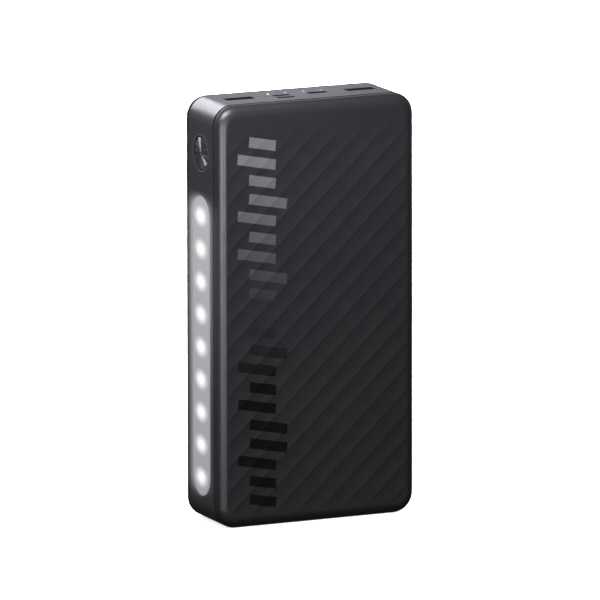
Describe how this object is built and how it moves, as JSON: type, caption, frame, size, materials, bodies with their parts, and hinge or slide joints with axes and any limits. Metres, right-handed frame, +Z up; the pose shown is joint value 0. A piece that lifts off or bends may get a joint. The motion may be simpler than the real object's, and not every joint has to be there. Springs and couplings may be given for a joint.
{
  "type": "power bank",
  "caption": "Upright power bank with ridged covers, sockets on top, a side power button and a long side light strip.",
  "frame": {"origin": "middle of the flat bottom face, under the centre of the body", "axes": "+Z up along the body to the sockets, front cover towards -Y, light strip and power button on -X"},
  "size_m": [0.09, 0.035, 0.178],
  "materials": {
    "button_plastic": "satin",
    "cell_pouch": "foil",
    "ceramic_chip": "satin",
    "chip_resin": "matte",
    "circuit_board": "solder mask",
    "clear_plastic": "clear",
    "contact_gold": "gold plated",
    "cover_plastic": "satin",
    "diffuser_plastic": "frosted",
    "ferrite": "matte",
    "foam": "open cell foam",
    "frame_plastic": "satin",
    "insulator_plastic": "matte",
    "led_package": "satin",
    "nickel_strip": "bright",
    "plunger_plastic": "satin",
    "reflector_plastic": "matte",
    "screw_steel": "zinc plated",
    "shell_steel": "brushed",
    "trim_metal": "satin",
    "wire_black": "silicone",
    "wire_red": "silicone",
    "wire_white": "silicone",
    "wrap_tape": "film"
  },
  "bodies": {
    "root": {"battery_lead_negative": "wire_black", "battery_lead_positive": "wire_red", "board_screws": "screw_steel", "button_trim_ring": "trim_metal", "capacitors": "ceramic_chip", "cell_front": "cell_pouch", "cell_middle": "cell_pouch", "cell_rear": "cell_pouch", "cell_tabs": "nickel_strip", "cell_wrap_bands": "wrap_tape", "controller_chips": "chip_resin", "daughter_board_pins": "contact_gold", "eight_pin_contacts": "contact_gold", "eight_pin_shell": "shell_steel", "eight_pin_tongue": "insulator_plastic", "foam_pad_front": "foam", "foam_pad_front_middle": "foam", "foam_pad_rear": "foam", "foam_pad_rear_middle": "foam", "front_cover": "cover_plastic", "indicator_leds": "led_package", "indicator_light_guide": "clear_plastic", "input_daughter_board": "circuit_board", "led_strip_board": "circuit_board", "light_diffuser": "diffuser_plastic", "light_reflector": "reflector_plastic", "main_board": "circuit_board", "micro_usb_contacts": "contact_gold", "micro_usb_shell": "shell_steel", "micro_usb_tongue": "insulator_plastic", "middle_frame": "frame_plastic", "power_inductors": "ferrite", "protection_board": "circuit_board", "protection_chips": "chip_resin", "rear_cover": "cover_plastic", "strip_leads": "wire_white", "strip_leds": "led_package", "switch_body": "insulator_plastic", "switch_terminals": "nickel_strip", "thermistor": "wire_black", "usb_a_left_contacts": "contact_gold", "usb_a_left_shell": "shell_steel", "usb_a_left_tongue": "insulator_plastic", "usb_a_right_contacts": "contact_gold", "usb_a_right_shell": "shell_steel", "usb_a_right_tongue": "insulator_plastic", "usb_c_contacts": "contact_gold", "usb_c_shell": "shell_steel", "usb_c_tongue": "insulator_plastic"},
    "power_button": {"power_button": "button_plastic"},
    "switch_plunger": {"switch_plunger": "plunger_plastic"}
  },
  "joints": [
    {"name": "power_button_press", "type": "slide", "parent": "root", "child": "power_button", "axis": [1, 0, 0], "range_m": [0, 0.0004], "stiffness_N_per_m": 1500, "springref_m": -0.0004},
    {"name": "switch_plunger_press", "type": "slide", "parent": "root", "child": "switch_plunger", "axis": [1, 0, 0], "range_m": [0, 0.0004]}
  ],
  "couplings": [
    {"joint": "switch_plunger_press", "follows": "power_button_press", "ratio": 1}
  ]
}
